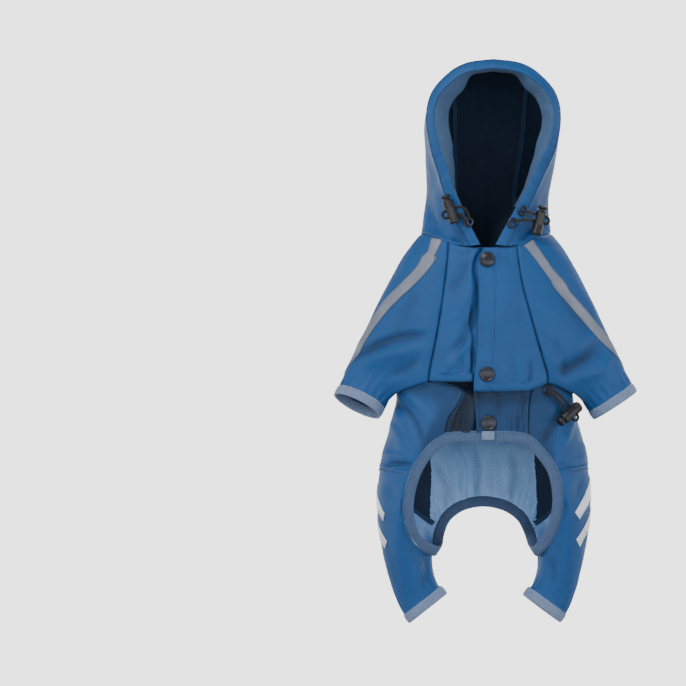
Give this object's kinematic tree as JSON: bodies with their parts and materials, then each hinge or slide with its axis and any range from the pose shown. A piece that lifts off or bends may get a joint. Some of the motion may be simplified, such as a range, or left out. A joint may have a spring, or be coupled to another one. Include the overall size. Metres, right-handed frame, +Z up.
{
  "type": "hooded dog raincoat",
  "caption": "Hooded dog raincoat with raglan sleeves, trouser legs, snap placket, gathered bindings, belly opening, leash flap and cord locks.",
  "frame": {"origin": "middle of the neck, where the wearer holds the coat up", "axes": "+Z up from the legs to the hood, -Y towards the front with the snaps, +X to the right as seen from the front"},
  "size_m": [0.253, 0.1132, 0.4691],
  "materials": {
    "cloth": "smooth coated woven cloth, steel blue",
    "binding": "pale blue-grey elastic binding",
    "tape": "grey reflective tape",
    "metal": "dark plated metal",
    "plastic": "black moulded plastic",
    "cord": "black braided elastic cord"
  },
  "bodies": {
    "root": {"hood_crown": "cloth", "hood_side_right": "cloth", "hood_side_left": "cloth", "hood_rim": "cloth", "back_upper": "cloth", "back_lower": "cloth", "front_right": "cloth", "front_left": "cloth", "sleeve_right": "cloth", "sleeve_left": "cloth", "leg_right": "cloth", "leg_left": "cloth", "waist_tunnel": "cloth", "leash_flap": "cloth", "cuff_right": "binding", "cuff_left": "binding", "hem_right": "binding", "hem_left": "binding", "opening_binding": "binding", "binding_tab": "binding", "tape_right": "tape", "tape_left": "tape", "bar_right_1": "tape", "bar_right_2": "tape", "bar_left_1": "tape", "bar_left_2": "tape", "snap_top": "metal", "snap_middle": "metal", "snap_belly": "metal", "eyelet_hood_upper": "metal", "eyelet_hood_lower": "metal", "eyelet_hood_left": "metal", "eyelet_waist": "metal", "lock_hood_right": "plastic", "button_hood_right": "plastic", "lock_hood_left": "plastic", "button_hood_left": "plastic", "lock_waist": "plastic", "button_waist": "plastic", "cord_hood_right": "cord", "cord_hood_left": "cord", "cord_waist": "cord"}
  },
  "joints": []
}
